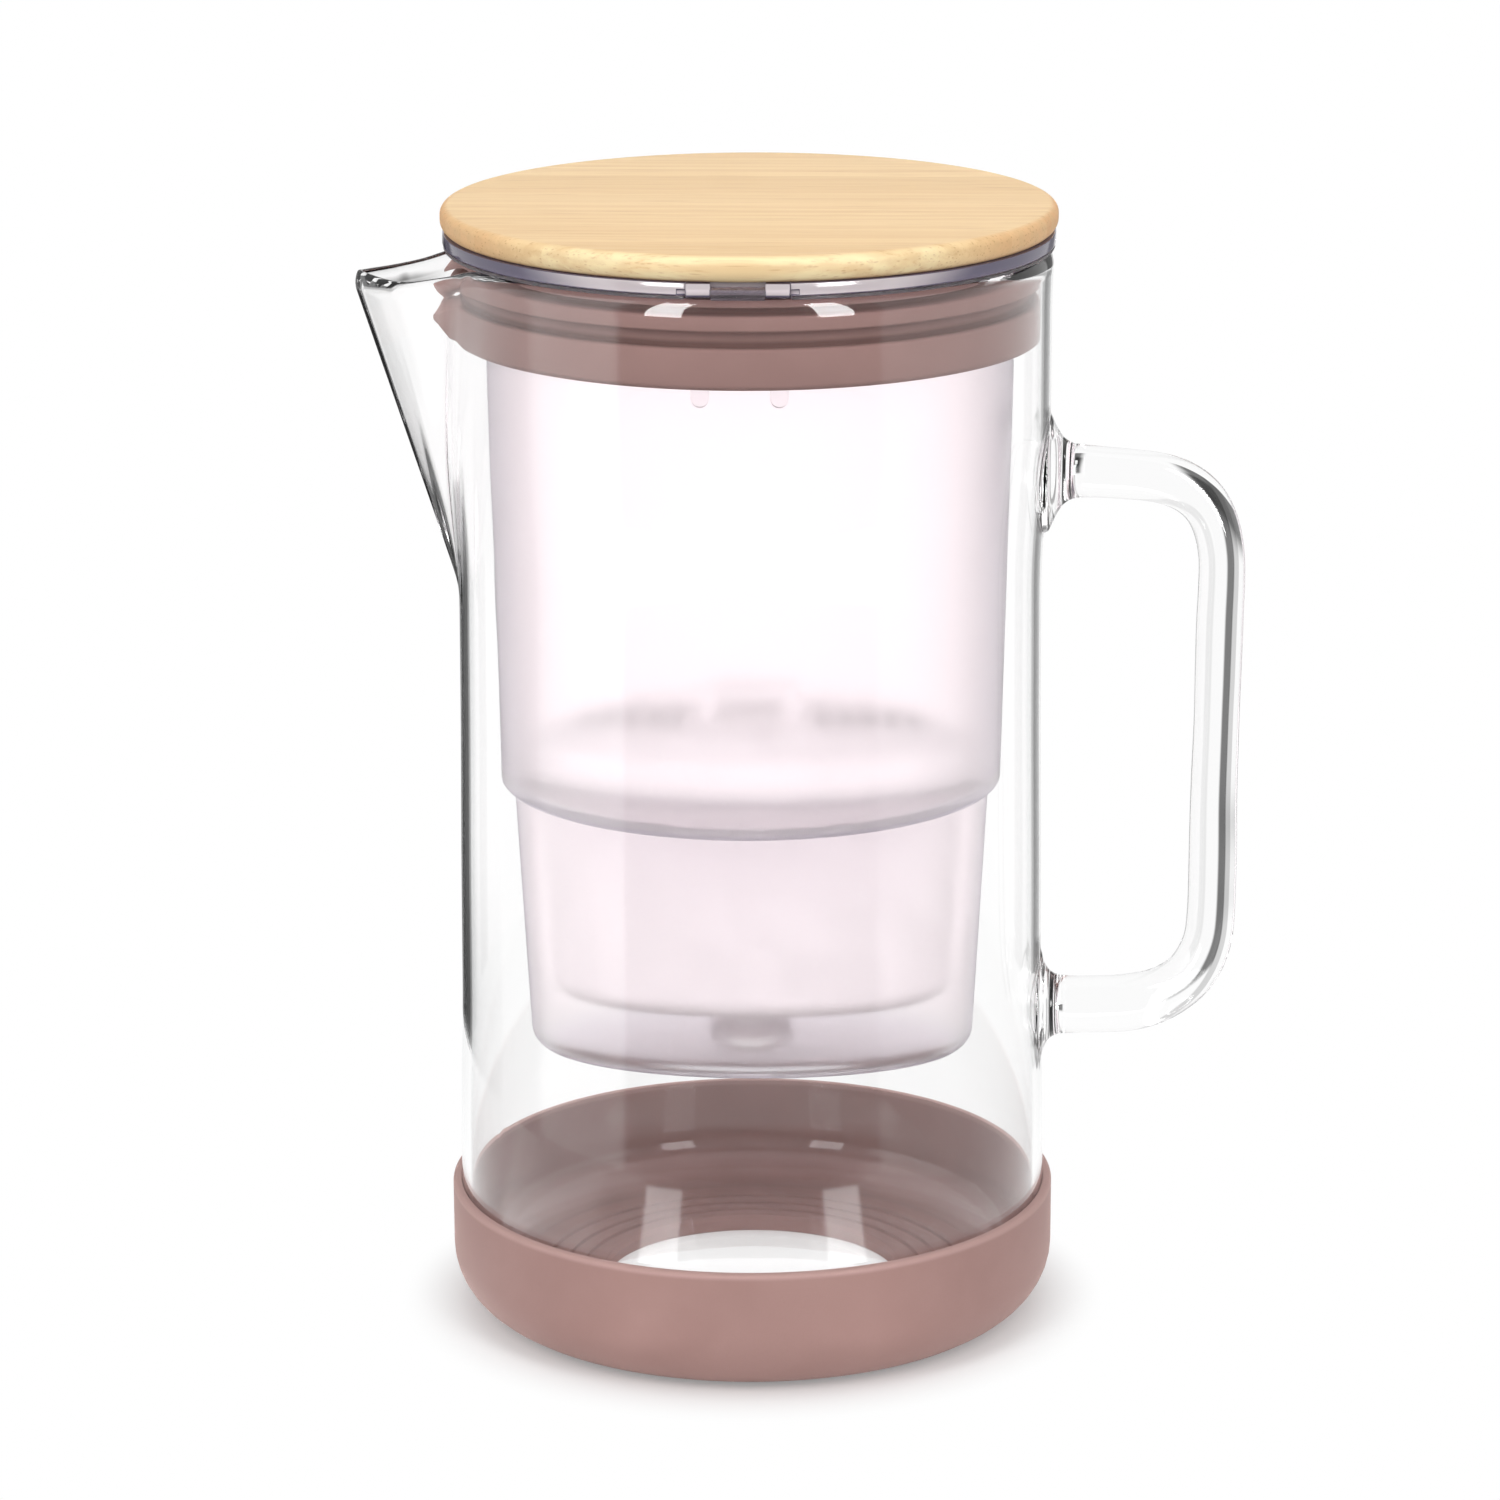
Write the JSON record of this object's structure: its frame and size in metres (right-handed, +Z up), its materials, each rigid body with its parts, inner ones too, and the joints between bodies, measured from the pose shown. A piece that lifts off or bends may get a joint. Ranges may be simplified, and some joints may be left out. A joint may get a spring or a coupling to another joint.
{
  "type": "water filter pitcher",
  "caption": "Glass water filter pitcher with a drawn spout and a fused rod handle, a frosted drop-in hopper with an oval cartridge, a silicone seal and boot, and a flip lid of bamboo.",
  "frame": {"origin": "on the jug's axis, in the plane of the flat underside that stands on the table", "axes": "+Z up along the jug's axis; -X towards the spout, +X towards the handle; -Y towards the side that carries the lid's hinge"},
  "size_m": [0.1936, 0.1348, 0.25],
  "materials": {
    "borosilicate_glass": "clear, fire polished",
    "dusty_rose_silicone": "matt silicone",
    "frosted_plastic": "frosted, translucent",
    "smoky_clear_plastic": "clear with a smoky tint",
    "bamboo": "sanded and oiled laminated bamboo",
    "stainless_steel": "bright drawn",
    "white_plastic": "smooth moulded",
    "grey_silicone": "matt silicone",
    "woven_screen": "fine woven screen",
    "filter_grains": "loose dark grains"
  },
  "bodies": {
    "jug": {"glass_jug": "borosilicate_glass", "glass_handle": "borosilicate_glass", "base_sleeve": "dusty_rose_silicone"},
    "hopper_unit": {"hopper": "frosted_plastic", "sealing_ring": "dusty_rose_silicone", "hinge_bracket": "smoky_clear_plastic"},
    "lid": {"lid_ring": "smoky_clear_plastic", "bamboo_disc": "bamboo", "hinge_pin": "stainless_steel", "lid_screws": "stainless_steel"},
    "cartridge": {"cartridge_shell": "white_plastic", "cartridge_cap": "white_plastic", "cartridge_seal": "grey_silicone", "inlet_mesh": "woven_screen", "filter_media": "filter_grains", "outlet_mesh": "woven_screen"}
  },
  "joints": [
    {"name": "hopper_lift", "type": "slide", "parent": "jug", "child": "hopper_unit", "axis": [0, 0, 1], "range_m": [0, 0.185]},
    {"name": "lid_flip", "type": "hinge", "parent": "hopper_unit", "child": "lid", "pos_m": [0, -0.0651, 0.24245], "axis": [1, 0, 0], "range_deg": [0, 95]},
    {"name": "cartridge_lift", "type": "slide", "parent": "hopper_unit", "child": "cartridge", "axis": [0, 0, 1], "range_m": [0, 0.09]}
  ]
}
